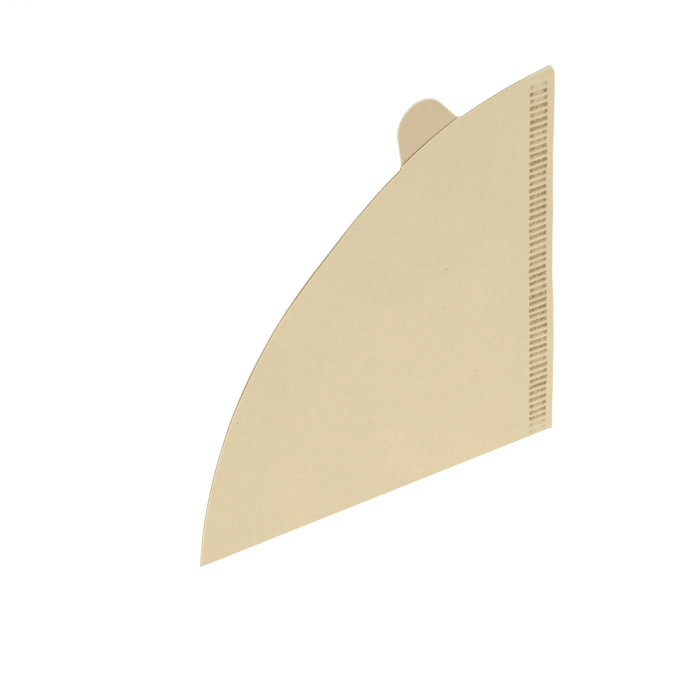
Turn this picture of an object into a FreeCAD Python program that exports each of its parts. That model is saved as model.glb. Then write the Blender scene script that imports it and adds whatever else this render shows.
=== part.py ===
"""Flat-folded cone coffee filter, natural brown paper.

One half-disc of crepe paper is folded once along a radius, and its two cut radii
are closed by a crimped seam, so the piece is a flat quarter disc of two layers
that opens into a 60 degree cone. The back layer carries a pull tab on its arc.
The filter lies on its back layer, as it does on a table: the layers are pressed
together along the fold and the seam, and spring a little apart at the mouth.

Body frame while it is drawn: tip of the cone at the origin, fold along -X, seam
along +Y, back layer on Z = 0. The body is then placed with the middle of its
bounding box over the origin.
"""

import math
import os

import FreeCAD
import Part
import Sketcher

V = FreeCAD.Vector

# Driving dimensions in millimetres and degrees, and one share: alias, value, meaning.
DIMENSIONS = [
    ("side_length", 145.0, "tip of the cone to the arc, along the fold and along the seam"),
    ("arc_radius", 161.0, "radius of the cut arc of the mouth"),
    ("corner_radius", 3.0, "rounded corner where the seam meets the arc"),
    ("paper_thickness", 0.2, "one layer of crepe filter paper"),
    ("mouth_lift", 1.0, "clear height between the layers at the middle of the mouth"),
    ("fold_roundness", 0.8, "outside rounding of the pressed fold, as a share of one layer"),
    ("seam_edge", 2.5, "plain paper between the seam edge and the crimp"),
    ("crimp_length", 6.9, "length of a crimp mark, across the seam"),
    ("crimp_pitch", 2.64, "spacing of the crimp marks along the seam"),
    ("crimp_start", 1.8, "tip to the middle of the first crimp mark"),
    ("crimp_end", 5.5, "plain paper kept between the last crimp mark and the arc"),
    ("crimp_depth", 0.2, "depth of a crimp mark below the plain paper"),
    ("ridge_width", 1.1, "width of the ridge left between two crimp marks"),
    ("ridge_height", 0.2, "height of that ridge above the plain paper"),
    ("crimp_inside", 0.8, "pressed paper between the crimp and the open pocket"),
    ("tab_bearing", 66.1, "direction of the tab from the arc's centre, from -X towards +Y"),
    ("tab_radius", 10.0, "radius of the tab's round head"),
    ("tab_height", 17.4, "how far the tab stands out of the arc"),
    ("tab_taper", 17.0, "lean of each of the tab's straight sides towards its head"),
    ("tab_flare", 2.5, "radius of the flares at the tab's root"),
    ("tab_root", 3.0, "how far the tab's blank runs into the back layer"),
]

# The flat cone is drawn past the filter before it is trimmed: its sector in degrees,
# of which the filter takes the middle 90, and its reach in side lengths.
CONE_SECTOR = 120
CONE_REACH = 1.5

# Expressions on the sheet that several features share.
PAPER = "dimensions.paper_thickness"
PRESSED = "2 * dimensions.paper_thickness"
SEAM_WIDTH = "(dimensions.seam_edge + dimensions.crimp_length + dimensions.crimp_inside)"
ARC_CENTRE_REACH = (
    "(sqrt(dimensions.arc_radius^2 - dimensions.side_length^2 / 2) / sqrt(2)"
    " - dimensions.side_length / 2)"
)
MOUTH_RUN = (
    f"(dimensions.arc_radius - sqrt(2) * {ARC_CENTRE_REACH}"
    f" - ({SEAM_WIDTH} + dimensions.paper_thickness) / sqrt(2))"
)
RISE_ANGLE = f"atan(dimensions.mouth_lift / {MOUTH_RUN})"


def make_sheet(doc):
    """The spreadsheet of driving dimensions, one aliased cell a row."""
    sheet = doc.addObject("Spreadsheet::Sheet", "dimensions")
    for row, (alias, value, meaning) in enumerate(DIMENSIONS, start=1):
        sheet.set(f"A{row}", meaning)
        sheet.set(f"B{row}", str(value))
        sheet.setAlias(f"B{row}", alias)
    doc.recompute()
    return sheet


def from_origin(body, role):
    """One of the body's own origin planes or axes, found by its role."""
    return next(f for f in body.Origin.OriginFeatures if f.Role == role)


def new_sketch(body, name, role):
    """A sketch on one of the body's origin planes."""
    sketch = body.newObject("Sketcher::SketchObject", name)
    sketch.AttachmentSupport = [(from_origin(body, role), "")]
    sketch.MapMode = "FlatFace"
    return sketch


def drive(sketch, kind, where, value, name, expression):
    """A dimension of the sketch that follows an expression on the sheet."""
    index = sketch.addConstraint(Sketcher.Constraint(kind, *where, value))
    sketch.renameConstraint(index, name)
    sketch.setExpression(f"Constraints.{name}", expression)


def join(sketch, *ends):
    """Pairs of line or arc ends that meet: (curve, end, curve, end)."""
    for end in ends:
        sketch.addConstraint(Sketcher.Constraint("Coincident", *end))


def arc_between(centre, start, end):
    """The arc about centre that runs counter-clockwise from start to end."""
    circle = Part.Circle(centre, V(0, 0, 1), (start - centre).Length)
    first = math.atan2(start.y - centre.y, start.x - centre.x)
    last = math.atan2(end.y - centre.y, end.x - centre.x)
    if last < first:
        last += 2 * math.pi
    return Part.ArcOfCircle(circle, first, last)


def arc_centre(side, radius):
    """Centre of the mouth's arc, the same distance from the ends of both sides."""
    from_chord = math.sqrt(radius**2 - side**2 / 2)
    reach = from_chord / math.sqrt(2) - side / 2
    return V(reach, -reach, 0)


def add_mouth_arc(sketch, sheet):
    """The mouth's arc, from the end of the seam to the end of the fold."""
    side = sheet.side_length
    centre = arc_centre(side, sheet.arc_radius)
    arc = sketch.addGeometry(arc_between(centre, V(0, side, 0), V(-side, 0, 0)))
    drive(sketch, "Radius", (arc,), sheet.arc_radius, "arc_radius", "dimensions.arc_radius")
    sketch.addConstraint(Sketcher.Constraint("PointOnObject", arc, 1, -2))
    sketch.addConstraint(Sketcher.Constraint("PointOnObject", arc, 2, -1))
    drive(sketch, "DistanceY", (-1, 1, arc, 1), side, "seam_side", "dimensions.side_length")
    drive(sketch, "DistanceX", (arc, 2, -1, 1), side, "fold_side", "dimensions.side_length")
    return arc


def outline_sketch(body, sheet, name):
    """The quarter disc: fold, arc and seam."""
    sketch = new_sketch(body, name, "XY_Plane")
    side = sheet.side_length
    arc = add_mouth_arc(sketch, sheet)
    fold = sketch.addGeometry(Part.LineSegment(V(-side, 0, 0), V(0, 0, 0)))
    seam = sketch.addGeometry(Part.LineSegment(V(0, 0, 0), V(0, side, 0)))
    join(sketch, (arc, 2, fold, 1), (fold, 2, seam, 1), (seam, 2, arc, 1), (fold, 2, -1, 1))
    return sketch


def outside_sketch(body, sheet):
    """Everything past the arc, out to twice the side."""
    sketch = new_sketch(body, "outside_of_arc", "XY_Plane")
    side = sheet.side_length
    far = 2 * side
    arc = add_mouth_arc(sketch, sheet)
    corners = [V(-side, 0, 0), V(-far, 0, 0), V(-far, far, 0), V(0, far, 0), V(0, side, 0)]
    lines = []
    for start, end in zip(corners, corners[1:]):
        lines.append(sketch.addGeometry(Part.LineSegment(start, end)))
    left, up, across, down = lines
    join(sketch, (arc, 2, left, 1), (left, 2, up, 1), (up, 2, across, 1))
    join(sketch, (across, 2, down, 1), (down, 2, arc, 1))
    for line in (left, across):
        sketch.addConstraint(Sketcher.Constraint("Horizontal", line))
    for line in (up, down):
        sketch.addConstraint(Sketcher.Constraint("Vertical", line))
    drive(sketch, "DistanceX", (up, 2, -1, 1), far, "far_left", "2 * dimensions.side_length")
    drive(sketch, "DistanceY", (-1, 1, up, 2), far, "far_up", "2 * dimensions.side_length")
    return sketch


def seam_width(sheet):
    """Width of the band where the layers are pressed together."""
    return sheet.seam_edge + sheet.crimp_length + sheet.crimp_inside


def cone_sketch(body, sheet, name, level, level_expression):
    """Half section of the very flat cone that the sprung front layer follows.

    The sketch stands on the line from the corner of the pocket, between the fold and
    the seam band, to the middle of the mouth. Sketch x runs out along that line, and
    sketch y is height. The cone's own axis leans, so that the cone crosses the given
    level along the fold and along the seam band, and rises between them to the mouth.
    """
    sketch = new_sketch(body, name, "XZ_Plane")
    turn = FreeCAD.Rotation(V(0, 1, 0), 135)
    corner = V(-seam_width(sheet), 0, -sheet.paper_thickness)
    sketch.AttachmentOffset = FreeCAD.Placement(corner, turn)
    sketch.setExpression("AttachmentOffset.Base.x", f"-{SEAM_WIDTH}")
    sketch.setExpression("AttachmentOffset.Base.z", f"-{PAPER}")

    centre = arc_centre(sheet.side_length, sheet.arc_radius)
    corner_out = (seam_width(sheet) + sheet.paper_thickness) / math.sqrt(2)
    mouth_run = sheet.arc_radius - centre.Length - corner_out
    rise = math.atan(sheet.mouth_lift / mouth_run)
    lean = math.atan((math.cos(rise) - math.sqrt(0.5)) / math.sin(rise))
    run = CONE_REACH * sheet.side_length
    apex = V(0, level, 0)
    rim = V(run, level + run * math.tan(rise), 0)
    down = V(math.cos(lean), -math.sin(lean), 0)
    foot = apex + down * (rim - apex).dot(down)

    slope = sketch.addGeometry(Part.LineSegment(apex, rim))
    base = sketch.addGeometry(Part.LineSegment(rim, foot))
    core = sketch.addGeometry(Part.LineSegment(foot, apex))
    axis = sketch.addGeometry(Part.LineSegment(apex, foot))
    sketch.setConstruction(axis, True)
    join(sketch, (slope, 2, base, 1), (base, 2, core, 1), (core, 2, slope, 1))
    join(sketch, (axis, 1, slope, 1), (axis, 2, core, 1))
    sketch.addConstraint(Sketcher.Constraint("PointOnObject", slope, 1, -2))
    sketch.addConstraint(Sketcher.Constraint("Perpendicular", base, core))
    drive(sketch, "DistanceY", (-1, 1, slope, 1), level, "level", level_expression)
    run_text = f"{CONE_REACH} * dimensions.side_length"
    drive(sketch, "DistanceX", (-1, 1, slope, 2), run, "run", run_text)
    drive(sketch, "DistanceY", (slope, 1, slope, 2), rim.y - level, "rise",
          f"{run_text} * dimensions.mouth_lift / {MOUTH_RUN}")
    drive(sketch, "Angle", (slope, 1, axis, 1), -(rise + lean), "opening",
          f"-({RISE_ANGLE} + atan((cos({RISE_ANGLE}) - sqrt(0.5)) / sin({RISE_ANGLE})))")
    return sketch


def revolve(body, kind, name, sketch):
    """The cone's sector, a little wider than the filter."""
    feature = body.newObject(kind, name)
    feature.Profile = sketch
    feature.ReferenceAxis = (sketch, ["Axis0"])
    feature.Angle = CONE_SECTOR
    feature.Midplane = True
    body.Document.recompute()


def add_front_layer(body, sheet):
    """The front layer, pressed flat by the fold and seam, sprung up between them."""
    level = 2 * sheet.paper_thickness
    cone = cone_sketch(body, sheet, "front_cone", level, PRESSED)
    revolve(body, "PartDesign::Revolution", "front_rise", cone)

    below = new_sketch(body, "below_front", "XY_Plane")
    below.AttachmentOffset = FreeCAD.Placement(V(0, 0, level), FreeCAD.Rotation())
    below.setExpression("AttachmentOffset.Base.z", PRESSED)
    reach = 4 * sheet.side_length
    circle = below.addGeometry(Part.Circle(V(0, 0, 0), V(0, 0, 1), reach))
    join(below, (circle, 3, -1, 1))
    drive(below, "Radius", (circle,), reach, "reach", "4 * dimensions.side_length")
    for name, profile in (("trim_below", below), ("trim_to_arc", outside_sketch(body, sheet))):
        trim = body.newObject("PartDesign::Pocket", name)
        trim.Profile = profile
        trim.Type = "ThroughAll"
        trim.Midplane = name == "trim_to_arc"
        body.Document.recompute()

    add_layer(body, sheet, "front", sheet.paper_thickness, PAPER)
    pocket = cone_sketch(body, sheet, "pocket_cone", sheet.paper_thickness, PAPER)
    revolve(body, "PartDesign::Groove", "open_pocket", pocket)


def add_layer(body, sheet, side, level, level_expression):
    """One flat layer of paper: the quarter disc, one thickness high."""
    sketch = outline_sketch(body, sheet, f"{side}_outline")
    sketch.AttachmentOffset = FreeCAD.Placement(V(0, 0, level), FreeCAD.Rotation())
    sketch.setExpression("AttachmentOffset.Base.z", level_expression)
    layer = body.newObject("PartDesign::Pad", f"{side}_layer")
    layer.Profile = sketch
    layer.setExpression("Length", PAPER)
    body.Document.recompute()
    return layer


def round_fold(body, layer):
    """The outside of the pressed fold, rounded."""
    fold = body.newObject("PartDesign::Fillet", "fold_rounding")
    fold.Base = (layer, edges_where(layer.Shape, lambda a, b: a.y == b.y == 0 and a.z == b.z))
    fold.setExpression("Radius", "dimensions.fold_roundness * dimensions.paper_thickness")
    body.Document.recompute()
    return fold


def round_corner(body, sheet, feature):
    """The rounded corner of both layers where the seam meets the arc."""
    def at_seam_corner(a, b):
        return a.x == b.x == 0 and a.y == b.y == sheet.side_length

    corner = body.newObject("PartDesign::Fillet", "seam_corner")
    corner.Base = (feature, edges_where(feature.Shape, at_seam_corner))
    corner.setExpression("Radius", "dimensions.corner_radius")
    body.Document.recompute()


def edges_where(shape, test):
    """Names of the edges between two points, rounded for comparison, that pass the test."""
    names = []
    for number, edge in enumerate(shape.Edges, start=1):
        ends = [V(*(round(value, 5) + 0.0 for value in vertex.Point)) for vertex in edge.Vertexes]
        if len(ends) == 2 and test(*ends):
            names.append(f"Edge{number}")
    return names


def tab_sketch(body, sheet):
    """The pull tab: a round head on leaning sides that flare into the mouth's arc.

    The sketch's origin is the centre of the mouth's arc, and its y axis runs out
    through the middle of the tab.
    """
    sketch = new_sketch(body, "tab_outline", "XY_Plane")
    turn = FreeCAD.Rotation(V(0, 0, 1), 90 - sheet.tab_bearing)
    centre = arc_centre(sheet.side_length, sheet.arc_radius)
    sketch.AttachmentOffset = FreeCAD.Placement(centre, turn)
    sketch.setExpression("AttachmentOffset.Base.x", ARC_CENTRE_REACH)
    sketch.setExpression("AttachmentOffset.Base.y", f"-{ARC_CENTRE_REACH}")
    sketch.setExpression("AttachmentOffset.Rotation.Angle", "(90 - dimensions.tab_bearing) * 1 deg")

    head_reach = sheet.arc_radius + sheet.tab_height - sheet.tab_radius
    flare_reach = sheet.arc_radius + sheet.tab_flare
    taper = math.radians(sheet.tab_taper)
    outward = V(math.cos(taper), math.sin(taper), 0)
    down_side = V(math.sin(taper), -math.cos(taper), 0)
    head_centre = V(0, head_reach, 0)
    on_head = head_centre + outward * sheet.tab_radius
    beside_head = on_head + outward * sheet.tab_flare
    inward = -beside_head.dot(down_side)
    run = inward - math.sqrt(inward**2 - beside_head.Length**2 + flare_reach**2)
    right_centre = beside_head + down_side * run
    on_side = on_head + down_side * run
    on_mouth = right_centre * (sheet.arc_radius / flare_reach)
    root = on_mouth - V(0, sheet.tab_root, 0)

    def mirrored(point):
        return V(-point.x, point.y, 0)

    mouth = sketch.addGeometry(Part.Circle(V(0, 0, 0), V(0, 0, 1), sheet.arc_radius))
    sketch.setConstruction(mouth, True)
    head = sketch.addGeometry(arc_between(head_centre, on_head, mirrored(on_head)))
    right_side = sketch.addGeometry(Part.LineSegment(on_head, on_side))
    right = sketch.addGeometry(arc_between(right_centre, on_side, on_mouth))
    left = sketch.addGeometry(
        arc_between(mirrored(right_centre), mirrored(on_mouth), mirrored(on_side))
    )
    left_side = sketch.addGeometry(Part.LineSegment(mirrored(on_side), mirrored(on_head)))
    right_root = sketch.addGeometry(Part.LineSegment(on_mouth, root))
    base = sketch.addGeometry(Part.LineSegment(root, mirrored(root)))
    left_root = sketch.addGeometry(Part.LineSegment(mirrored(root), mirrored(on_mouth)))

    join(sketch, (mouth, 3, -1, 1), (right, 2, right_root, 1), (right_root, 2, base, 1))
    join(sketch, (base, 2, left_root, 1), (left_root, 2, left, 1))
    drive(sketch, "Radius", (mouth,), sheet.arc_radius, "mouth", "dimensions.arc_radius")
    sketch.addConstraint(Sketcher.Constraint("PointOnObject", head, 3, -2))
    drive(sketch, "DistanceY", (-1, 1, head, 3), head_reach, "head_reach",
          "dimensions.arc_radius + dimensions.tab_height - dimensions.tab_radius")
    drive(sketch, "Radius", (head,), sheet.tab_radius, "head", "dimensions.tab_radius")
    drive(sketch, "Radius", (left,), sheet.tab_flare, "left_flare", "dimensions.tab_flare")
    drive(sketch, "Radius", (right,), sheet.tab_flare, "right_flare", "dimensions.tab_flare")
    drive(sketch, "Angle", (right_side,), taper - math.pi / 2, "right_lean",
          "(dimensions.tab_taper - 90) * 1 deg")
    drive(sketch, "Angle", (left_side,), math.pi / 2 - taper, "left_lean",
          "(90 - dimensions.tab_taper) * 1 deg")
    sketch.addConstraint(Sketcher.Constraint("Tangent", head, 1, right_side, 1))
    sketch.addConstraint(Sketcher.Constraint("Tangent", right_side, 2, right, 1))
    sketch.addConstraint(Sketcher.Constraint("Tangent", left, 2, left_side, 1))
    sketch.addConstraint(Sketcher.Constraint("Tangent", left_side, 2, head, 2))
    sketch.addConstraint(Sketcher.Constraint("Tangent", right, 2, mouth))
    sketch.addConstraint(Sketcher.Constraint("Tangent", left, 1, mouth))
    sketch.addConstraint(Sketcher.Constraint("Vertical", right_root))
    sketch.addConstraint(Sketcher.Constraint("Vertical", left_root))
    sketch.addConstraint(Sketcher.Constraint("Horizontal", base))
    drive(sketch, "Distance", (right_root,), sheet.tab_root, "root", "dimensions.tab_root")
    return sketch


def add_tab(body, sheet):
    """The pull tab, one layer thick, on the back layer."""
    tab = body.newObject("PartDesign::Pad", "tab")
    tab.Profile = tab_sketch(body, sheet)
    tab.setExpression("Length", PAPER)
    body.Document.recompute()


def crest_sketch(body, sheet, name, section):
    """Section along the seam of a round ridge or groove: an arc over a level chord.

    The section gives the middle, width, rise and level of the chord, each as a value
    and as an expression on the sheet. A groove is drawn as an arc under its chord.
    """
    sketch = new_sketch(body, name, "YZ_Plane")
    sketch.AttachmentOffset = FreeCAD.Placement(V(0, 0, -sheet.seam_edge), FreeCAD.Rotation())
    sketch.setExpression("AttachmentOffset.Base.z", "-dimensions.seam_edge")
    (middle, middle_text), (width, width_text) = section["middle"], section["width"]
    (rise, rise_text), (level, level_text) = section["rise"], section["level"]
    half, upward = width / 2, 1 if section["upward"] else -1
    radius = (half**2 + rise**2) / (2 * rise)
    near, far = V(middle - half, level, 0), V(middle + half, level, 0)
    chord = sketch.addGeometry(Part.LineSegment(near, far))
    centre = V(middle, level + upward * (rise - radius), 0)
    ends = (far, near) if section["upward"] else (near, far)
    arc = sketch.addGeometry(arc_between(centre, *ends))
    near_end, far_end = (2, 1) if section["upward"] else (1, 2)
    join(sketch, (chord, 1, arc, near_end), (chord, 2, arc, far_end))
    sketch.addConstraint(Sketcher.Constraint("Horizontal", chord))
    if level:
        drive(sketch, "DistanceY", (-1, 1, chord, 1), level, "level", level_text)
    else:
        sketch.addConstraint(Sketcher.Constraint("PointOnObject", chord, 1, -1))
    drive(sketch, "DistanceX", (-1, 1, chord, 1), middle - half, "near",
          f"{middle_text} - {width_text} / 2")
    drive(sketch, "Distance", (chord,), width, "width", width_text)
    drive(sketch, "Radius", (arc,), radius, "crest",
          f"(({width_text} / 2)^2 + {rise_text}^2) / (2 * {rise_text})")
    return sketch


def add_crimp(body, sheet):
    """The crimped seam: marks pressed into the front, with hollow ridges between."""
    surface = (2 * sheet.paper_thickness, PRESSED)
    start, pitch = sheet.crimp_start, sheet.crimp_pitch
    ridge_middle = (start + pitch / 2, "(dimensions.crimp_start + dimensions.crimp_pitch / 2)")
    ridge_width = (sheet.ridge_width, "dimensions.ridge_width")
    ridge_rise = (sheet.ridge_height, "dimensions.ridge_height")
    mark = {
        "middle": (start, "dimensions.crimp_start"),
        "width": (pitch - sheet.ridge_width, "(dimensions.crimp_pitch - dimensions.ridge_width)"),
        "rise": (sheet.crimp_depth, "dimensions.crimp_depth"),
        "level": surface,
        "upward": False,
    }
    ridge = {
        "middle": ridge_middle, "width": ridge_width, "rise": ridge_rise, "level": surface,
        "upward": True,
    }
    hollow = dict(ridge, level=(0, ""))
    pieces = []
    for name, kind, section in (
        ("crimp_mark", "PartDesign::Pocket", mark),
        ("crimp_ridge", "PartDesign::Pad", ridge),
        ("ridge_hollow", "PartDesign::Pocket", hollow),
    ):
        piece = body.newObject(kind, name)
        piece.Profile = crest_sketch(body, sheet, f"{name}_section", section)
        piece.Reversed = kind == "PartDesign::Pad"
        piece.setExpression("Length", "dimensions.crimp_length")
        body.Document.recompute()
        pieces.append(piece)

    row = body.newObject("PartDesign::LinearPattern", "crimp_row")
    row.Originals = pieces
    row.Direction = (from_origin(body, "Y_Axis"), [""])
    room = "(dimensions.side_length - dimensions.crimp_start - dimensions.crimp_end)"
    row.setExpression("Occurrences", f"floor({room} / dimensions.crimp_pitch) + 1")
    row.setExpression("Length", f"floor({room} / dimensions.crimp_pitch) * dimensions.crimp_pitch")
    body.Tip = row


def place(body):
    """Puts the middle of the bounding box's bottom over the origin."""
    head = "(dimensions.arc_radius + dimensions.tab_height - dimensions.tab_radius)"
    rise = f"({head} * sin(dimensions.tab_bearing * 1 deg) + dimensions.tab_radius)"
    body.setExpression("Placement.Base.x", "dimensions.side_length / 2")
    body.setExpression("Placement.Base.y", f"({ARC_CENTRE_REACH} - {rise}) / 2")


def check(doc, bodies):
    """Stops on any failed object or invalid shape."""
    failed = [o.Label for o in doc.Objects if {"Invalid", "Error"} & set(o.State)]
    if failed:
        raise RuntimeError(f"these objects failed: {failed}")
    for body in bodies:
        shape = body.Shape
        if shape.isNull() or not shape.isValid() or len(shape.Solids) != 1:
            raise RuntimeError(f"{body.Label} is not one valid solid")


def main():
    doc = FreeCAD.newDocument("coffee_filter")
    sheet = make_sheet(doc)
    body = doc.addObject("PartDesign::Body", "paper_filter")
    body.Label = "paper_filter"
    add_front_layer(body, sheet)
    back = add_layer(body, sheet, "back", 0, "0 mm")
    fold = round_fold(body, back)
    round_corner(body, sheet, fold)
    add_tab(body, sheet)
    add_crimp(body, sheet)
    place(body)
    doc.recompute()
    check(doc, [body])
    os.makedirs("parts", exist_ok=True)
    body.Shape.exportStep(f"parts/{body.Label}.step")
    print(f"{body.Label}: volume {body.Shape.Volume:.1f} mm3, {len(body.Shape.Faces)} faces")


main()
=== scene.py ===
"""A flat-folded cone coffee filter of natural brown paper, lying on a white table.

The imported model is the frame. The filter is drawn again here as one folded sheet, in
the same place, with the crimp's uneven marks, a front layer that stands a little off
the back one, a lifted seam edge, a mouth that is flatter beside the tab, and paper with
fibres, flecks and a faint grain.

The sheet is worked out in millimetres from the tip of the cone: u runs along the fold
away from the tip, v along the seam away from the tip, and z up from the table. Bearings
are in degrees, from +u towards +v, and waves are (height, wavelength in u, in v, phase).
"""

import math
import random

import bpy
import numpy as np
from mathutils import Matrix, Vector
from mathutils.geometry import delaunay_2d_cdt


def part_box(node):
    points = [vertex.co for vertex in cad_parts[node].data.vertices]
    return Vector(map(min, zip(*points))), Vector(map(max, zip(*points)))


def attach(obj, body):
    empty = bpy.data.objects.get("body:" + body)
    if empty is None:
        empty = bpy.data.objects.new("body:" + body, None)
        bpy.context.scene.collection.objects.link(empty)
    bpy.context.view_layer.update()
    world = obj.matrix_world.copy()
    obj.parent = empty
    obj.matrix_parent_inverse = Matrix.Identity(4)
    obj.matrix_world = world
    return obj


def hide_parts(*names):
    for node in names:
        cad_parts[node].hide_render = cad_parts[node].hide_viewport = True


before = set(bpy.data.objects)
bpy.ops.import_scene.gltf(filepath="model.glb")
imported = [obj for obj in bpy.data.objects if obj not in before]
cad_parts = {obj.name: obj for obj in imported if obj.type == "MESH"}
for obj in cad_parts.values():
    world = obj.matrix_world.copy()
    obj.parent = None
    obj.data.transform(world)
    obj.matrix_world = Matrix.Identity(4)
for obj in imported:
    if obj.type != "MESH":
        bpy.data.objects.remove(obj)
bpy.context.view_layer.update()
NODE = "paper_filter"
MM = 0.001
SEED = 20

# The filter, as in the part's source (millimetres and degrees).
SIDE = 145.0
ARC_RADIUS = 161.0
CORNER_RADIUS = 3.0
PAPER = 0.2
MOUTH_LIFT = 1.0
SEAM_EDGE = 2.5
CRIMP_LENGTH = 6.9
CRIMP_PITCH = 2.64
CRIMP_START = 1.8
CRIMP_COUNT = 53
CRIMP_INSIDE = 0.8
TAB_BEARING = 66.1
TAB_RADIUS = 10.0
TAB_HEIGHT = 17.4
TAB_TAPER = 17.0
TAB_FLARE = 2.5

# The layers: the gap at the fold, the share by which the front one has settled, its
# waves and the clear height over which they set in, and how far it stands past the arc
# in front of the tab (millimetres).
FOLD_GAP = 0.05
SETTLING = 0.68
FRONT_WAVES = ((0.09, 71.0, -96.0, 0.4), (0.06, -38.0, 55.0, 2.1), (0.035, 23.0, 31.0, 4.0))
WAVE_START = (0.1, 0.7)
RISE_SOFTNESS = 0.06
FRONT_STEP = 1.15
TAB_CURL = 0.15
CURL_POWER = 1.4

# The mouth's flatter stretch: its depth, where it is and how wide (degrees), and how far
# in from the arc it reaches (millimetres).
FLAT_DEPTH = 2.0
FLAT_BEARING = 49.4
FLAT_WIDTH = 12.0
FLAT_REACH = 25.0

# The seam's edge lifts and bows by its swells: (share, place along the seam, width).
SEAM_SWELLS = ((0.75, 138.0, 24.0), (1.4, 33.0, 21.0))
SEAM_LIFT = 0.5
SEAM_SHIFT = 0.15
SEAM_REACH = 15.0
LIFT_POWER = 1.8

# The cut edges: how far they wander, how far in that is felt, the waves, whose last
# number multiplies the layer's own phase, and the rim's painted highlight as (distance
# in, how pale it is painted).
ENDLESS = 1e6
EDGE_WANDER = 0.12
SEAM_WANDER_REACH = 1.2
SEAM_CUT_WAVES = ((1.0, ENDLESS, 41.0, 1), (0.6, ENDLESS, 17.0, 2))
ARC_WANDER_REACH = 1.5
ARC_CUT_WAVES = ((1.0, 63.0, -57.0, 1), (0.5, 29.0, -23.0, 3))
FRONT_PHASE = 0.3
BACK_PHASE = 1.9
RIM_STEPS = ((0.15, 0.70), (0.42, 0.0))
RIM_DROP = 0.07
RIM_CLEAR = 0.62

# The crimp's marks and the ridges between them (millimetres, and shares of the pitch).
# Each mark gives way to the next over MARK_BLEND, and the band ends over BAND_END, in
# half pitches past the first and the last mark.
MARK_DEPTH = 0.19
MARK_BLEND = (0.3, 0.7)
MARK_END = 0.35
MARK_SHIFT = (0.2, 0.45)
RIDGE_HEIGHT = 0.22
RIDGE_HOLLOW = 0.12
RIDGE_SHARE = 0.21
HOLLOW_SHARE = 0.17
BAND_END = (0.25, 1.0)
FUSED_LEVEL = 0.17
FUSED_GAP_SHARE = 0.2
FUSED_EDGE = (0.7, 0.4)
BAND_WAVES = ((0.10, 90.0, 17.0, 1.0), (0.06, 90.0, 5.3, 2.0))
ROUGH_WAVES = ((0.02, 1.9, 6.1, 0.0), (0.015, -1.1, 2.7, 1.7))

# A mark is deepest at a spot near each of its ends, and its middle may be hollow.
SPOT_INSET = 0.8
SPOT_SIZE = 0.6
SPOT_SHARE = 0.4
MIDDLE_SHARE = 0.85

# How the marks differ, and how the first and last ones fade. They are numbered from the
# tip, and from the mouth where the number is negative.
MARK_STRAY = 0.16
MARK_ALTERNATE = 0.06
MARK_UNEVEN = 0.27
HOLLOW_MOST = 0.38
MARK_FADES = {0: 0.3, 1: 0.5, 2: 0.75, -4: 0.9, -3: 0.85, -2: 0.8, -1: 0.55}
MOUTH_HOLLOWS = {-5: 0.4, -4: 0.45, -3: 0.5, -2: 0.7, -1: 0.6}

# Mesh spacing (millimetres).
FINE_STEP = 0.165
FIELD_STEP = 2.0
COARSE_STEP = 3.5
ROW_STEP = 2.5
ARC_STEP = 1.0
TAB_STEP = 0.7
FLARE_STEP = 0.4
CORNER_STEP = 0.3
FOLD_STEP = 2.0
FOLD_FINE_STEP = 0.5
FOLD_FINE_END = 14.0
FIELD_START = 15.5
FOLD_FACES = 5
CREASE_ANGLE = 50.0
CORNER_TURN = (180.0, 95.0)
TOLERANCE = 1e-6

# Columns of vertices over the crimp: in the margins outside it, round the marks' ends,
# between the ends, and further in as (distance from the marks, step). The inside faces
# have a few of their own.
MARGIN_START = 0.6
MARGIN_GAP = 0.5
MARGIN_COUNT = 4
END_COLUMNS = (-0.3, -0.15, 0.0, 0.15, 0.3, 0.5)
MIDDLE_GAP = 0.9
MIDDLE_COUNT = 8
OUTER_COLUMNS = ((0.8, 0.33), (1.3, 0.66), (2.1, 1.1), (3.3, 1.6))
PLAIN_COLUMNS = (1.0, 4.5, 7.0, 12.5)
PLAIN_FIRST_ROW = 1.0

# Colours, linear.
OUTSIDE_COLOUR = (0.757, 0.626, 0.406)
# Darker inside faces, set to the tab's tone in shade: painted shade.
INSIDE_SHADE_COLOUR = (0.686, 0.552, 0.359)
# Cut faces partly the cut fibres' own paler tone, partly painted highlight; on the faces' rims a
# painted highlight.
CUT_AND_HIGHLIGHT_COLOUR = (0.95, 0.815, 0.535)
FLECK_COLOUR = (0.40, 0.27, 0.13)
# The marks' colour: partly the pressed paper's own darker tone, partly painted shade in the
# hollows.
PRESSED_AND_SHADE_COLOUR = (0.256, 0.164, 0.030)
# Painted highlight on the crimp's ridges.
RIDGE_HIGHLIGHT_COLOUR = (0.84, 0.71, 0.41)

# The paper's looks, by the group of faces that wears them: name, colour, how much the
# pressing shows (its darkening partly painted shade, with a painted highlight on the
# ridges), and how strong the relief is.
LOOKS = {
    "outside": ("paper_outside", OUTSIDE_COLOUR, 1.0, 0.30),
    "inside": ("paper_inside_painted_shade", INSIDE_SHADE_COLOUR, 0.30, 0.40),
    "cut": ("paper_cut_edge_and_highlight", CUT_AND_HIGHLIGHT_COLOUR, 0.20, 0.50),
}

# The paper's noises: (scale, detail, roughness), the stretch of values that shows, the
# tones it gives, and its share of the relief. The crepe's place is turned and stretched.
CLOUDS = ((34.0, 3.0, 0.55), (0.3, 0.7), (0.985, 1.015), 0.0)
FORMATION = ((420.0, 4.0, 0.6), (0.25, 0.75), (0.978, 1.02), 0.5)
GRAIN = ((2600.0, 2.0, 0.6), (0.2, 0.8), (0.97, 1.03), 0.35)
CREPE = ((1.0, 2.0, 0.55), (0.2, 0.8), (0.985, 1.015), 0.4)
CREPE_STRETCH = (8.0, (700.0, 3000.0, 700.0))
CRUSHED_STRETCH = (0.0, (2400.0, 1300.0, 2400.0))
CRUSHED_NOISE = (1.0, 3.0, 0.7)

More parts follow.
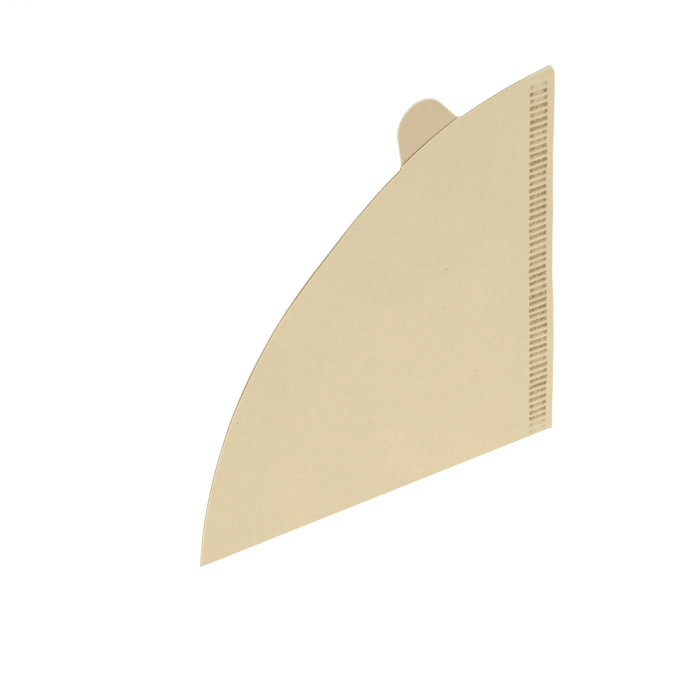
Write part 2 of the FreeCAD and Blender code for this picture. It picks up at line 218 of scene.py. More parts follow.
# Where the paper is crushed, pressed (darker, partly as painted shade), raised (a painted
# highlight) or at a cut edge or rim (paler, partly a painted highlight): the stretch of
# values that shows, and for some what it is mapped to.
CRUSHED_SHOWN = (0.40, 0.60, 0.4, 1.0)
PRESSED_AND_SHADE_SHOWN = (0.0, 0.9)
RIDGE_HIGHLIGHT_SHOWN = (-0.2, -0.9)
RIDGE_HIGHLIGHT_STRENGTH = 0.6
EDGE_HIGHLIGHT_SHOWN = (0.0, 0.5, 0.0, 0.8)

# Fibres: (turn in degrees, scale in both directions, shift, width), and flecks.
DARK_HAIRS = ((12.0, (170.0, 900.0), 3.1, 0.055), (78.0, (150.0, 800.0), 7.7, 0.05))
PALE_HAIRS = ((-35.0, (210.0, 1300.0), 1.3, 0.09), (50.0, (240.0, 1500.0), 9.2, 0.09))
DARK_HAIR_TONE = 0.10
PALE_HAIR_TONE = 0.04
DARK_HAIR_RELIEF = 0.15
PALE_HAIR_RELIEF = 0.25
HAIR_BEND = 0.0035
HAIR_BEND_NOISE = (260.0, 1.0)
HAIR_CORE = 0.4
CROSS_SHIFT = 0.37
FLECK_SCALE = 120.0
FLECK_SIZE = (0.02, 0.06)
FLECK_STRENGTH = 0.45

# The paper's surface; the relief's height is in metres.
RELIEF_HEIGHT = 0.00012
SURFACE = {
    "Roughness": 0.9, "Specular IOR Level": 0.2, "Sheen Weight": 0.08, "Sheen Roughness": 0.6,
}

# The table: how it glows and reflects, its size and how far below the filter it is (metres).
FLOOR_GLOW = 0.32
FLOOR_WHITE = 0.8
FLOOR_SIZE = 30.0
FLOOR_DROP = 0.00002

# The lights; the lamp's place and target are in millimetres from the filter's tip.
WORLD_STRENGTH = 0.49
KEY_STRENGTH = 0.99
KEY_TOWARDS = (-0.15, -0.50, 0.85)
FILL_STRENGTH = 0.40
FILL_TOWARDS = (-0.55, 0.65, 0.50)
SUN_ANGLE = 24.0
LAMP_POWER = 0.13
LAMP_SIZE = 0.12
LAMP_PLACE = (-68.0, -45.0, 250.0)
LAMP_TARGET = (-50.0, 30.0, 0.0)

# The photograph's view, in millimetres and degrees from the filter's tip.
CAMERA_TARGET = (-83.03, 63.16, 0.0)
CAMERA_DISTANCE = 1376.1
CAMERA_AZIMUTH = 130.08
CAMERA_ELEVATION = 44.98
CAMERA_ROLL = 128.55
CAMERA_LENS = 212.37
SENSOR_WIDTH = 36.0
CAMERA_RANGE = (0.01, 100.0)

box_low, box_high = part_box(NODE)
TIP = Vector((box_high.x, box_low.y, 0.0))


def arc_centre():
    """The arc's centre as (u, v): past the tip, the same distance from both sides."""
    from_chord = math.sqrt(ARC_RADIUS**2 - SIDE**2 / 2)
    reach = from_chord / math.sqrt(2) - SIDE / 2
    return np.array((-reach, -reach))


CENTRE = arc_centre()


def toward(degrees):
    """Unit vector along a bearing."""
    turn = np.radians(degrees)
    return np.stack((np.cos(turn), np.sin(turn)), -1)


def bearing_of(point, centre):
    """Bearing from the centre to a point."""
    return math.degrees(math.atan2(point[1] - centre[1], point[0] - centre[0]))


def spaced(start, end, step):
    """Evenly spaced numbers from start to end, close to step apart, without the end."""
    count = max(1, int(round(abs(end - start) / step)))
    return start + (end - start) * np.arange(count) / count


def arc_run(centre, radius, start, end, step):
    """Points along an arc from one bearing to another, without the last."""
    return centre + radius * toward(spaced(start, end, math.degrees(step / radius)))


def line_run(start, end, step):
    """Points along a straight line, without the last."""
    count = max(1, int(round(np.linalg.norm(end - start) / step)))
    return start + (end - start) * (np.arange(count) / count)[:, None]


def tab_outline(reach):
    """The tab from its flare on the seam side to its flare on the fold side.

    It is cut off at a reach beyond the mouth's arc. Returns its points and the bearings
    at which it leaves and rejoins the arc.
    """
    head = CENTRE + (ARC_RADIUS + TAB_HEIGHT - TAB_RADIUS) * toward(TAB_BEARING)
    flare_reach = ARC_RADIUS + TAB_FLARE
    sides = []
    for way in (1, -1):
        outward = toward(TAB_BEARING + way * (90 - TAB_TAPER))
        down = toward(TAB_BEARING + way * (180 - TAB_TAPER))
        beside = head + (TAB_RADIUS + TAB_FLARE) * outward - CENTRE
        inward = -beside @ down
        run = inward - math.sqrt(inward**2 - beside @ beside + flare_reach**2)
        shoulder = head + TAB_RADIUS * outward
        sides.append((CENTRE + beside + run * down, shoulder, shoulder + run * down))
    (seam_flare, seam_head, seam_side), (fold_flare, fold_head, fold_side) = sides

    first_start = bearing_of(CENTRE, seam_flare)
    first_end = bearing_of(seam_side, seam_flare)
    head_start, head_end = bearing_of(seam_head, head), bearing_of(fold_head, head)
    last_start, last_end = bearing_of(fold_side, fold_flare), bearing_of(CENTRE, fold_flare)
    first_end -= 360 * round((first_end - first_start) / 360)
    last_end -= 360 * round((last_end - last_start) / 360)
    while head_start < head_end:
        head_start += 360
    points = np.concatenate((
        arc_run(seam_flare, TAB_FLARE, first_start, first_end, FLARE_STEP),
        line_run(seam_side, seam_head, TAB_STEP),
        arc_run(head, TAB_RADIUS, head_start, head_end, TAB_STEP),
        line_run(fold_head, fold_side, TAB_STEP),
        arc_run(fold_flare, TAB_FLARE, last_start, last_end, FLARE_STEP),
    ))
    out = points - CENTRE
    radius = np.linalg.norm(out, axis=1)[:, None]
    points = CENTRE + out * np.minimum(1, (ARC_RADIUS + reach) / radius)
    return points, bearing_of(seam_flare, CENTRE), bearing_of(fold_flare, CENTRE)


def outline(fold_line, tab_reach):
    """Boundary of one layer from the tip up the seam, round the mouth and back to the fold.

    Returns the points and how many of the last ones lie on the fold.
    """
    corner = np.array((CORNER_RADIUS, SIDE - CORNER_RADIUS))
    rows = spaced(fold_line, corner[1], FINE_STEP)
    seam = np.stack((np.zeros(len(rows)), rows), -1)
    # The corner stops a little short of 90 degrees, where the mouth has its first point.
    rounding = arc_run(corner, CORNER_RADIUS, *CORNER_TURN, CORNER_STEP)
    start = bearing_of((CORNER_RADIUS, SIDE), CENTRE)
    end = math.degrees(math.asin((fold_line - CENTRE[1]) / ARC_RADIUS))
    tab, leave, rejoin = tab_outline(tab_reach)
    mouth = np.concatenate((
        arc_run(CENTRE, ARC_RADIUS, start, leave, ARC_STEP),
        tab,
        arc_run(CENTRE, ARC_RADIUS, rejoin, end, ARC_STEP),
    ))
    fold_end = CENTRE[0] + math.sqrt(ARC_RADIUS**2 - (fold_line - CENTRE[1]) ** 2)
    fold = np.concatenate((
        spaced(fold_end, FOLD_FINE_END, FOLD_STEP),
        spaced(FOLD_FINE_END, 0.0, FOLD_FINE_STEP),
        [0.0],
    ))
    fold = np.stack((fold, np.full(len(fold), fold_line)), -1)
    return np.concatenate((seam[1:], rounding, mouth, fold)), len(fold)


def inset(boundary, distance):
    """The boundary moved inwards, by at most twice the distance at a sharp corner."""
    before = boundary - np.roll(boundary, 1, axis=0)
    after = np.roll(boundary, -1, axis=0) - boundary
    normals = []
    for run in (before, after):
        normal = np.stack((run[:, 1], -run[:, 0]), -1)
        normals.append(normal / np.linalg.norm(normal, axis=1)[:, None])
    middle = normals[0] + normals[1]
    middle /= np.linalg.norm(middle, axis=1)[:, None]
    stretch = distance / np.clip((middle * normals[0]).sum(1), 0.5, 1)
    return boundary + middle * stretch[:, None]


def inside(points, boundary, margin):
    """Which points are inside the boundary, at least a margin from it."""
    u, v = points[:, 0], points[:, 1]
    within = np.zeros(len(points), bool)
    near = np.full(len(points), np.inf)
    for a, b in zip(boundary, np.roll(boundary, -1, axis=0)):
        run = b - a
        if run[1]:
            within ^= ((a[1] > v) != (b[1] > v)) & (u < a[0] + (v - a[1]) * run[0] / run[1])
        share = np.clip(((points - a) @ run) / (run @ run), 0, 1)
        gap = points - a - share[:, None] * run
        near = np.minimum(near, (gap**2).sum(1))
    return within & (near > margin**2)


def grid(columns, rows):
    """Every crossing of the columns and the rows."""
    return np.array([(u, v) for u in columns for v in rows])


def band_points():
    """Fine rows over the crimp, with columns closer together at the marks' ends."""
    first, last = SEAM_EDGE, SEAM_EDGE + CRIMP_LENGTH
    columns = list(np.linspace(MARGIN_START, first - MARGIN_GAP, MARGIN_COUNT))
    columns += [first + end for end in END_COLUMNS]
    columns += list(np.linspace(first + MIDDLE_GAP, last - MIDDLE_GAP, MIDDLE_COUNT))
    columns += [last - end for end in reversed(END_COLUMNS)] + [last + MARGIN_GAP]
    blocks = [grid(columns, np.arange(2 * FINE_STEP, SIDE, FINE_STEP))]
    for distance, step in OUTER_COLUMNS:
        blocks.append(grid([last + distance], np.arange(step, SIDE, step)))
    return np.concatenate(blocks)


def field_points(step):
    """A triangular grid from beside the crimp to the end of the fold and the tab."""
    blocks = []
    for row, v in enumerate(np.arange(step / 2, SIDE + TAB_HEIGHT, step * math.sqrt(3) / 2)):
        blocks.append(grid(np.arange(FIELD_START, SIDE, step) + (row % 2) * step / 2, [v]))
    return np.concatenate(blocks)


def plain_points():
    """A coarse grid for the inside faces, with columns where the crimp's steps are."""
    last = SEAM_EDGE + CRIMP_LENGTH
    far, near = FUSED_EDGE
    steps = (SEAM_EDGE - far, SEAM_EDGE - near, last + near, last + far)
    columns = sorted((*PLAIN_COLUMNS, *steps))
    band = grid(columns, np.arange(PLAIN_FIRST_ROW, SIDE, ROW_STEP))
    return np.concatenate((band, field_points(COARSE_STEP)))


def triangulate(boundary, interior):
    """Points (boundary first) and triangles, facing up, that fill the boundary."""
    points = np.concatenate((boundary, interior))
    count = len(boundary)
    rim = [(i, (i + 1) % count) for i in range(count)]
    within_rim = 1
    out = delaunay_2d_cdt([Vector(p) for p in points], rim, [], within_rim, TOLERANCE)
    if len(out[0]) != len(points):
        raise RuntimeError("the sheet's outline crosses or repeats itself")
    source = np.array([ids[0] for ids in out[3]])
    triangles = source[np.array(out[2])]
    a, b, c = (points[triangles[:, k]] for k in range(3))
    turn = (b[:, 0] - a[:, 0]) * (c[:, 1] - a[:, 1]) - (b[:, 1] - a[:, 1]) * (c[:, 0] - a[:, 0])
    triangles[turn > 0] = triangles[turn > 0][:, ::-1]
    return points, triangles


def smooth(low, high, value):
    """0 below low, 1 above high, and an eased curve between them."""
    t = np.clip((value - low) / (high - low), 0, 1)
    return t * t * (3 - 2 * t)


def bell(offset, width):
    """1 where the offset is 0, falling off over the width."""
    return np.exp(-((offset / width) ** 2))


def ripple(u, v, waves):
    """A sum of waves over the sheet."""
    total = np.zeros(np.shape(u))
    for height, length_u, length_v, phase in waves:
        total = total + height * np.sin(2 * math.pi * (u / length_u + v / length_v) + phase)
    return total


def rise(u, v):
    """Clear height between the layers, from the flat cone the front layer follows."""
    corner = np.array((SEAM_EDGE + CRIMP_LENGTH + CRIMP_INSIDE, PAPER))
    mouth_run = ARC_RADIUS - np.linalg.norm(CENTRE) - corner.sum() / math.sqrt(2)
    angle = math.atan(MOUTH_LIFT / mouth_run)
    lean = math.atan((math.cos(angle) - math.sqrt(0.5)) / math.sin(angle))
    du, dv = u - corner[0], v - corner[1]
    height = math.cos(lean) * (du + dv) / math.sqrt(2) - math.cos(lean + angle) * np.hypot(du, dv)
    height = height / math.sin(lean)
    return 0.5 * (height + np.sqrt(height**2 + RISE_SOFTNESS**2))


def front_wave(u, v):
    """How far the front layer is off the plain cone: waves, and how far it has settled."""
    lifted = rise(u, v)
    waves = smooth(*WAVE_START, lifted) * ripple(u, v, FRONT_WAVES)
    return (1 - SETTLING) * waves - SETTLING * lifted


def seam_swell(v):
    """How much the seam's edge lifts and bows outwards along its length."""
    return sum(share * bell(v - place, width) for share, place, width in SEAM_SWELLS)


def seam_lift(u, v):
    """How far the sheet stands off the table near the seam's edge."""
    return SEAM_LIFT * seam_swell(v) * np.clip(1 - u / SEAM_REACH, 0, 1) ** LIFT_POWER


def make_marks():
    """Uneven middles, depths and hollowness of the crimp's marks, tip to mouth."""
    dice = random.Random(SEED)
    middles, depths, hollows = [], [], []
    for k in range(CRIMP_COUNT):
        middles.append(CRIMP_START + k * CRIMP_PITCH + dice.uniform(-MARK_STRAY, MARK_STRAY))
        alternate = MARK_ALTERNATE if k % 2 else -MARK_ALTERNATE
        depths.append(MARK_DEPTH * (1 + alternate + dice.uniform(-MARK_UNEVEN, MARK_UNEVEN)))
        hollows.append(dice.uniform(0.0, HOLLOW_MOST))
    for k, share in MARK_FADES.items():
        depths[k] *= share
    for k, hollow in MOUTH_HOLLOWS.items():
        hollows[k] = hollow
    return np.array(middles), np.array(depths), np.array(hollows)


MARK_MIDDLES, MARK_DEPTHS, MARK_HOLLOWS = make_marks()


def crimp(u, v):
    """(share of a ridge's full height, depth of the marks) over the crimped band."""
    upper = np.clip(np.searchsorted(MARK_MIDDLES, v), 1, CRIMP_COUNT - 1)
    below, above = MARK_MIDDLES[upper - 1], MARK_MIDDLES[upper]
    share = np.clip((v - below) / (above - below), 0, 1)
    blend = smooth(*MARK_BLEND, share)
    depth, hollow = (
        values[upper - 1] * (1 - blend) + values[upper] * blend
        for values in (MARK_DEPTHS, MARK_HOLLOWS)
    )
    hollow = hollow * bell(np.minimum(share, 1 - share), HOLLOW_SHARE)
    crest = bell(share - 0.5, RIDGE_SHARE)
    past_ends = np.maximum(MARK_MIDDLES[0] - v, v - MARK_MIDDLES[-1]) / (CRIMP_PITCH / 2)

    wander = ripple(u, v, BAND_WAVES)
    from_first = u - SEAM_EDGE - MARK_SHIFT[0] - wander
    from_last = SEAM_EDGE + CRIMP_LENGTH + MARK_SHIFT[1] + wander - u
    window = smooth(-MARK_END, MARK_END, from_first) * smooth(-MARK_END, MARK_END, from_last)
    window = window * (1 - smooth(*BAND_END, past_ends))
    spots = bell(from_first - SPOT_INSET, SPOT_SIZE) + bell(from_last - SPOT_INSET, SPOT_SIZE)
    middle = MIDDLE_SHARE * (1 - hollow * (1 - np.minimum(spots, 1)))
    rough = ripple(u, v, ROUGH_WAVES) / MARK_DEPTH
    marks = (1 - crest) * depth * (middle + SPOT_SHARE * spots + rough)
    return window * crest * depth / MARK_DEPTH, window * marks


def fused(u, v):
    """1 where the crimp holds the layers together, 0 elsewhere."""
    last = SEAM_EDGE + CRIMP_LENGTH
    far, near = FUSED_EDGE
    return smooth(SEAM_EDGE - far, SEAM_EDGE - near, u) * smooth(-last - far, -last - near, -u)


def top_of_front(u, v):
    """Height of the front layer's upper face, with the marks and the ridges."""
    ridges, marks = crimp(u, v)
    plain = 2 * PAPER + FOLD_GAP + rise(u, v) + front_wave(u, v)
    return plain + seam_lift(u, v) + RIDGE_HEIGHT * ridges - marks


def under_front(u, v):
    """Height of the front layer's lower face, which the crimp holds on the back layer."""
    plain = PAPER + FOLD_GAP + rise(u, v) + front_wave(u, v)
    joined = FUSED_LEVEL + FUSED_GAP_SHARE * FOLD_GAP
    return plain + fused(u, v) * (joined - plain) + seam_lift(u, v)


def top_of_back(u, v):
    """Height of the back layer's upper face."""
    return PAPER + fused(u, v) * (FUSED_LEVEL - PAPER) + seam_lift(u, v) + tab_curl(u, v)


def under_back(u, v):
    """Height of the back layer's lower face, hollow under the ridges."""
    return RIDGE_HOLLOW * crimp(u, v)[0] + seam_lift(u, v) + tab_curl(u, v)


def tab_curl(u, v):
    """The tab's head stands a little off the table."""
    off = np.hypot(u - CENTRE[0], v - CENTRE[1]) - ARC_RADIUS
    return TAB_CURL * np.clip(off / TAB_HEIGHT, 0, 1) ** CURL_POWER


def placed(points, height, phase):
    """Sheet points as points of the row frame, in metres, with unevenly cut edges.

    The mouth's arc is a little flat on the fold's side of the tab.
    """
    out = points - CENTRE
    radius = np.linalg.norm(out, axis=1)
    from_arc = np.maximum(ARC_RADIUS - radius, 0)
    bearing = np.degrees(np.arctan2(out[:, 1], out[:, 0]))
    flat = bell(bearing - FLAT_BEARING, FLAT_WIDTH) * np.exp(-from_arc / FLAT_REACH)
    points = points - out * (FLAT_DEPTH * flat / radius)[:, None]
    u, v = points[:, 0], points[:, 1]
    seam_wave, arc_wave = (
        ripple(u, v, [(*wave, times * phase) for *wave, times in waves])
        for waves in (SEAM_CUT_WAVES, ARC_CUT_WAVES)
    )
    bow = SEAM_SHIFT * seam_swell(v) * bell(u, SEAM_REACH)
    seam_cut = EDGE_WANDER * np.exp(-u / SEAM_WANDER_REACH) * seam_wave
    arc_cut = EDGE_WANDER * np.exp(-from_arc / ARC_WANDER_REACH) * arc_wave
    x = TIP.x - MM * (u - bow - seam_cut)
    y = TIP.y + MM * (v + arc_cut)
    return np.stack((x, y, MM * height), -1)


class Sheet:
    """Gathers the vertices and faces of the folded sheet."""

    def __init__(self, fold_count):
        self.fold_count = fold_count
        self.vertices, self.press, self.edge = [], [], []
        self.faces = {look: [] for look in LOOKS}

    def add_vertices(self, points, pressed, edge):
        """Returns the new vertices' numbers."""
        base = sum(len(block) for block in self.vertices)
        self.vertices.append(points)
        self.press.append(pressed)
        self.edge.append(edge)
        return base + np.arange(len(points))

    def add_surface(self, rim, interior, height, facing_up, phase, look):
        """One face of a layer; its rim drops a little where the blade came through.

        Returns the numbers of the rim's vertices, of which the last ones lie on the fold.
        """
        rings = [inset(rim, distance) for distance, _ in RIM_STEPS]
        kept = interior[inside(interior, rim, RIM_CLEAR)]
        points, triangles = triangulate(rim, np.concatenate((*rings, kept)))
        u, v = points[:, 0], points[:, 1]
        # The edge values pale the cut edges and the faces' rims, partly as a painted highlight.
        edge = np.zeros(len(points))
        cut = np.arange(len(rim)) < len(rim) - self.fold_count
        for ring, share in enumerate([1.0] + [share for _, share in RIM_STEPS]):
            edge[ring * len(rim):(ring + 1) * len(rim)] = share * cut
        drop = RIM_DROP * edge if facing_up else 0.0
        ridges, marks = crimp(u, v)
        # The marks' depth darkens the paper, partly as painted shade; the ridges take a painted
        # highlight.
        pressed = marks / MARK_DEPTH - ridges
        numbers = self.add_vertices(placed(points, height(u, v) - drop, phase), pressed, edge)
        turned = triangles if facing_up else triangles[:, ::-1]
        self.faces[look].extend(numbers[turned].tolist())
        return numbers[:len(rim)]

    def add_cut_edge(self, upper, lower):
        """Joins the rims of a layer's two faces, all round but for the fold."""
        for i in range(len(upper) - self.fold_count + 1):
            self.faces["cut"].append([upper[i - 1], lower[i - 1], lower[i], upper[i]])

    def add_fold(self, *rims):
        """The fold: a half-round outside, closed straight inside, with a cap at each end.

        The four rims are those of the layers' faces, from the top one to the lowest.
        """
        count = self.fold_count
        top, over, under, bottom = (rim[-count:] for rim in rims)
        cloud = np.concatenate(self.vertices)
        middle, half = (cloud[top] + cloud[bottom]) / 2, (cloud[top] - cloud[bottom]) / 2
        strands = [top]
        for k in range(1, FOLD_FACES):
            turn = math.pi * k / FOLD_FACES
            strand = middle + half * math.cos(turn)
            strand[:, 1] -= np.abs(half[:, 2]) * math.sin(turn)
            strands.append(self.add_vertices(strand, np.zeros(count), np.zeros(count)))
        strands.append(bottom)
        for i in range(count - 1):
            for a, b in zip(strands, strands[1:]):
                self.faces["outside"].append([a[i + 1], a[i], b[i], b[i + 1]])
            self.faces["inside"].append([over[i], over[i + 1], under[i + 1], under[i]])
        start, end = ([strand[i] for strand in (*strands, under, over)] for i in (0, -1))
        self.faces["cut"] += [start[::-1], end]


def build_sheet():
    """The whole folded sheet, closed all round."""
    fold_line = PAPER + FOLD_GAP / 2
    front_rim, fold_count = outline(fold_line, FRONT_STEP)
    back_rim, _ = outline(fold_line, TAB_HEIGHT)
    fine = np.concatenate((band_points(), field_points(FIELD_STEP)))
    plain = plain_points()

    sheet = Sheet(fold_count)
    front_top = sheet.add_surface(front_rim, fine, top_of_front, True, FRONT_PHASE, "outside")
    front_under = sheet.add_surface(front_rim, plain, under_front, False, FRONT_PHASE, "inside")
    back_top = sheet.add_surface(back_rim, plain, top_of_back, True, BACK_PHASE, "inside")
    back_under = sheet.add_surface(back_rim, fine, under_back, False, BACK_PHASE, "outside")
    sheet.add_cut_edge(front_top, front_under)
    sheet.add_cut_edge(back_top, back_under)
    sheet.add_fold(front_top, front_under, back_top, back_under)
    return sheet


def make_filter(sheet):
    """The sheet as an object, with the values that the paper's look reads."""
    faces, looks = [], []
    for look, group in enumerate(sheet.faces.values()):
        faces += [[int(i) for i in face] for face in group]
        looks += [look] * len(group)
    mesh = bpy.data.meshes.new("folded_filter")
    mesh.from_pydata(np.concatenate(sheet.vertices).tolist(), [], faces)
    mesh.polygons.foreach_set("material_index", looks)
    mesh.polygons.foreach_set("use_smooth", [True] * len(faces))
    for name, values in (("pressed", sheet.press), ("edge", sheet.edge)):
        attribute = mesh.attributes.new(name, "FLOAT", "POINT")
        attribute.data.foreach_set("value", np.concatenate(values))
    mesh.update()
    mesh.set_sharp_from_angle(angle=math.radians(CREASE_ANGLE))
    piece = bpy.data.objects.new("folded_filter", mesh)
    bpy.context.collection.objects.link(piece)
    return piece


class Nodes:
    """Short calls for a material's node tree."""

    def __init__(self, name):
        self.material = bpy.data.materials.new(name)
        self.material.use_nodes = True
        self.tree = self.material.node_tree
        self.tree.nodes.clear()

    def add(self, kind, inputs=None, **settings):
        """A node with its settings and its inputs, each a value or another's output."""
        node = self.tree.nodes.new(kind)
        for key, value in settings.items():
            setattr(node, key, value)
        for key, value in (inputs or {}).items():
            self.feed(node.inputs[key], value)
        return node

    def feed(self, socket, value):
        if isinstance(value, bpy.types.NodeSocket):
            self.tree.links.new(value, socket)
        else:
            socket.default_value = value

    def math(self, operation, a, b=0.0):
        return self.add("ShaderNodeMath", {0: a, 1: b}, operation=operation).outputs[0]

    def chain(self, operation, values):
        """One operation over all the values, from the first on."""
        total = values[0]
        for value in values[1:]:
            total = self.math(operation, total, value)
        return total

    def product(self, *values):
        return self.chain("MULTIPLY", values)

    def total(self, *values):
        return self.chain("ADD", values)

    def ranged(self, value, low, high, new_low=0.0, new_high=1.0):
        """Maps a value from one range to another, eased and held at its ends."""
        inputs = {"Value": value, "From Min": low, "From Max": high}
        inputs.update({"To Min": new_low, "To Max": new_high})
        node = self.add("ShaderNodeMapRange", inputs, interpolation_type="SMOOTHSTEP")
        return node.outputs["Result"]

    def mix(self, factor, a, b, blend="MIX"):
        node = self.add("ShaderNodeMix", {0: factor, 6: a, 7: b}, data_type="RGBA",
                        blend_type=blend)
        return node.outputs[2]

    def noise(self, place, scale, detail, roughness=0.55):
        inputs = {"Vector": place, "Scale": scale, "Detail": detail, "Roughness": roughness}
        return self.add("ShaderNodeTexNoise", inputs)

    def mapped(self, place, turn, scale, shift=0.0):
        """The place turned, stretched and shifted, not as far in y as in x."""
        inputs = {"Vector": place, "Location": (shift, shift * CROSS_SHIFT, 0.0),
                  "Rotation": (0.0, 0.0, math.radians(turn)), "Scale": scale}
        return self.add("ShaderNodeMapping", inputs).outputs[0]

    def hairs(self, place, turn, scale, shift, width):
        """Thin, short, slightly bent fibres in one direction: 1 on a fibre, 0 off it."""
        bend = self.noise(place, *HAIR_BEND_NOISE).outputs["Color"]
        bent = self.add("ShaderNodeVectorMath", {0: bend, 1: (HAIR_BEND, HAIR_BEND, 0.0)},
                        operation="MULTIPLY").outputs[0]
        moved = self.add("ShaderNodeVectorMath", {0: place, 1: bent}, operation="ADD").outputs[0]
        inputs = {"Vector": self.mapped(moved, turn, (*scale, 1.0), shift), "Scale": 1.0}
        cells = self.add("ShaderNodeTexVoronoi", inputs, voronoi_dimensions="2D")
        return self.ranged(cells.outputs["Distance"], width * HAIR_CORE, width, 1.0, 0.0)

    def finish(self, shader):
        self.add("ShaderNodeOutputMaterial", {0: shader.outputs[0]})
        return self.material


def paper_material(name, base, press, relief):
    """Unbleached crepe filter paper: cloudy, fibrous, flecked, darker where pressed, partly as
    painted shade, with painted highlights on the ridges and pale cut edges and rims, partly
    painted highlight.
    """
    nodes = Nodes(name)
    place = nodes.add("ShaderNodeTexCoord").outputs["Object"]
    crepe_place = nodes.mapped(place, *CREPE_STRETCH)
    tones, heights = [], []
    for where, (noise, shown, tone_range, share) in (
        (place, CLOUDS), (place, FORMATION), (place, GRAIN), (crepe_place, CREPE)
    ):
        value = nodes.noise(where, *noise).outputs["Fac"]
        tones.append(nodes.ranged(value, *shown, *tone_range))
        if share:
            heights.append(nodes.product(value, share))
    dark_hairs, pale_hairs = (
        nodes.chain("MAXIMUM", [nodes.hairs(place, *hair) for hair in hairs])
        for hairs in (DARK_HAIRS, PALE_HAIRS)
    )
    tones.append(nodes.math("SUBTRACT", 1.0, nodes.product(dark_hairs, DARK_HAIR_TONE)))
    tone = nodes.total(nodes.product(*tones), nodes.product(pale_hairs, PALE_HAIR_TONE))
    shade = nodes.add("ShaderNodeCombineColor", {0: tone, 1: tone, 2: tone}).outputs[0]
    colour = nodes.mix(1.0, (*base, 1.0), shade, "MULTIPLY")

    cells = nodes.add("ShaderNodeTexVoronoi", {"Vector": place, "Scale": FLECK_SCALE})
    flecks = nodes.ranged(cells.outputs["Distance"], *FLECK_SIZE, 1.0, 0.0)
    colour = nodes.mix(nodes.product(flecks, FLECK_STRENGTH), colour, (*FLECK_COLOUR, 1.0))

    # Darker, mottled marks: partly the pressed paper's own tone, partly painted shade in the
    # hollows.
    crushed = nodes.noise(nodes.mapped(place, *CRUSHED_STRETCH), *CRUSHED_NOISE).outputs["Fac"]
    pressed = nodes.add("ShaderNodeAttribute", attribute_name="pressed").outputs["Fac"]
    pressed_and_painted_shade = nodes.product(
        nodes.ranged(pressed, *PRESSED_AND_SHADE_SHOWN), nodes.ranged(crushed, *CRUSHED_SHOWN), press
    )
    colour = nodes.mix(pressed_and_painted_shade, colour, (*PRESSED_AND_SHADE_COLOUR, 1.0))
    # Painted highlight along the ridges between the marks.
    painted_ridge_highlight = nodes.product(nodes.ranged(pressed, *RIDGE_HIGHLIGHT_SHOWN), press, RIDGE_HIGHLIGHT_STRENGTH)
    colour = nodes.mix(painted_ridge_highlight, colour, (*RIDGE_HIGHLIGHT_COLOUR, 1.0))
    # Paler cut edges and rims: partly the cut fibres' own tone, partly painted highlight.
    edge = nodes.add("ShaderNodeAttribute", attribute_name="edge").outputs["Fac"]
    colour = nodes.mix(nodes.ranged(edge, *EDGE_HIGHLIGHT_SHOWN), colour, (*CUT_AND_HIGHLIGHT_COLOUR, 1.0))

    height = nodes.total(
        *heights,
        nodes.product(pale_hairs, PALE_HAIR_RELIEF),
        nodes.product(dark_hairs, DARK_HAIR_RELIEF),
    )
    bump = nodes.add(
        "ShaderNodeBump", {"Height": height, "Strength": relief, "Distance": RELIEF_HEIGHT}
    )
    surface = {"Base Color": colour, "Normal": bump.outputs[0], **SURFACE}
    return nodes.finish(nodes.add("ShaderNodeBsdfPrincipled", surface))


def floor_material():
    """White table: plain diffuse for the light, lifted to white where the camera sees it."""
    nodes = Nodes("white_table")
    path = nodes.add("ShaderNodeLightPath")
    rays = ("Is Camera Ray", "Is Glossy Ray", "Is Transmission Ray")
    seen = nodes.chain("MAXIMUM", [path.outputs[ray] for ray in rays])
    white = (FLOOR_WHITE, FLOOR_WHITE, FLOOR_WHITE, 1.0)
    diffuse = nodes.add("ShaderNodeBsdfDiffuse", {"Color": white})
    glow = nodes.add("ShaderNodeEmission", {"Strength": nodes.product(seen, FLOOR_GLOW)})
    both = {0: diffuse.outputs[0], 1: glow.outputs[0]}
    return nodes.finish(nodes.add("ShaderNodeAddShader", both))


def make_floor():
    """A wide white table just under the filter."""
    half = FLOOR_SIZE / 2
    corners = [(-half, -half), (half, -half), (half, half), (-half, half)]
    mesh = bpy.data.meshes.new("table")
    mesh.from_pydata([(x, y, -FLOOR_DROP) for x, y in corners], [], [(0, 1, 2, 3)])
    table = bpy.data.objects.new("table", mesh)
    bpy.context.collection.objects.link(table)
    mesh.materials.append(floor_material())


def make_world():
    """White all round: full white to the camera, and dimmer as a light."""
    world = bpy.data.worlds.new("studio")
    bpy.context.scene.world = world
    world.use_nodes = True
    background = world.node_tree.nodes["Background"]
    path = world.node_tree.nodes.new("ShaderNodeLightPath")
    strength = world.node_tree.nodes.new("ShaderNodeMapRange")
    strength.inputs["To Min"].default_value = WORLD_STRENGTH
    strength.inputs["To Max"].default_value = 1.0
    world.node_tree.links.new(path.outputs["Is Camera Ray"], strength.inputs["Value"])
    world.node_tree.links.new(strength.outputs[0], background.inputs["Strength"])
    background.inputs["Color"].default_value = (1.0, 1.0, 1.0, 1.0)


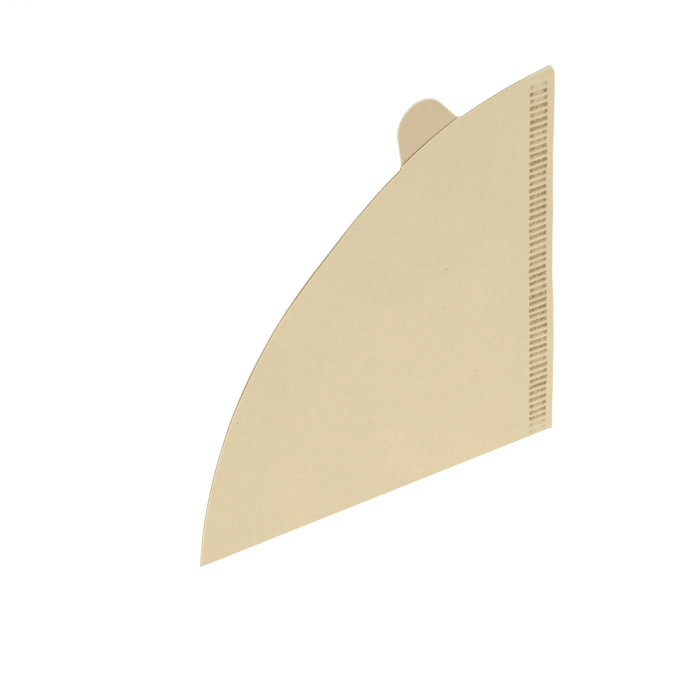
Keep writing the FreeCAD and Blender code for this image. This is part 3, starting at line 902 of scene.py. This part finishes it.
def add_light(name, kind, away, place, **settings):
    """A light at a place; away is the direction that it shines from."""
    light = bpy.data.lights.new(name, kind)
    for key, value in settings.items():
        setattr(light, key, value)
    holder = bpy.data.objects.new(name, light)
    holder.rotation_mode = "QUATERNION"
    holder.rotation_quaternion = Vector(away).to_track_quat("Z", "Y")
    holder.location = place
    bpy.context.collection.objects.link(holder)


def make_lights():
    """A broad key and a weak near lamp from the fold's side, and a low fill on the mouth."""
    angle = math.radians(SUN_ANGLE)
    add_light("key", "SUN", KEY_TOWARDS, Vector(), energy=KEY_STRENGTH, angle=angle)
    add_light("fill", "SUN", FILL_TOWARDS, Vector(), energy=FILL_STRENGTH, angle=angle)
    place, target = Vector(LAMP_PLACE), Vector(LAMP_TARGET)
    lamp = {"energy": LAMP_POWER, "size": LAMP_SIZE}
    add_light("near_lamp", "AREA", place - target, TIP + MM * place, **lamp)


def make_camera():
    """The camera looks at the target from its azimuth and elevation, turned by its roll."""
    azimuth, elevation = math.radians(CAMERA_AZIMUTH), math.radians(CAMERA_ELEVATION)
    back = Vector((
        math.cos(azimuth) * math.cos(elevation),
        math.sin(azimuth) * math.cos(elevation),
        math.sin(elevation),
    ))
    lens = bpy.data.cameras.new("camera")
    lens.lens = CAMERA_LENS
    lens.sensor_width = SENSOR_WIDTH
    lens.clip_start, lens.clip_end = CAMERA_RANGE
    camera = bpy.data.objects.new("camera", lens)
    level = (-back).to_track_quat("-Z", "Y").to_matrix()
    turned = level @ Matrix.Rotation(math.radians(CAMERA_ROLL), 3, "Z")
    place = TIP + MM * (Vector(CAMERA_TARGET) + CAMERA_DISTANCE * back)
    camera.matrix_world = Matrix.Translation(place) @ turned.to_4x4()
    bpy.context.collection.objects.link(camera)
    bpy.context.scene.camera = camera


filter_piece = make_filter(build_sheet())
for look in LOOKS.values():
    filter_piece.data.materials.append(paper_material(*look))
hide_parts(NODE)
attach(filter_piece, "root")
make_floor()
make_world()
make_lights()
make_camera()
bpy.context.scene.view_settings.view_transform = "Standard"
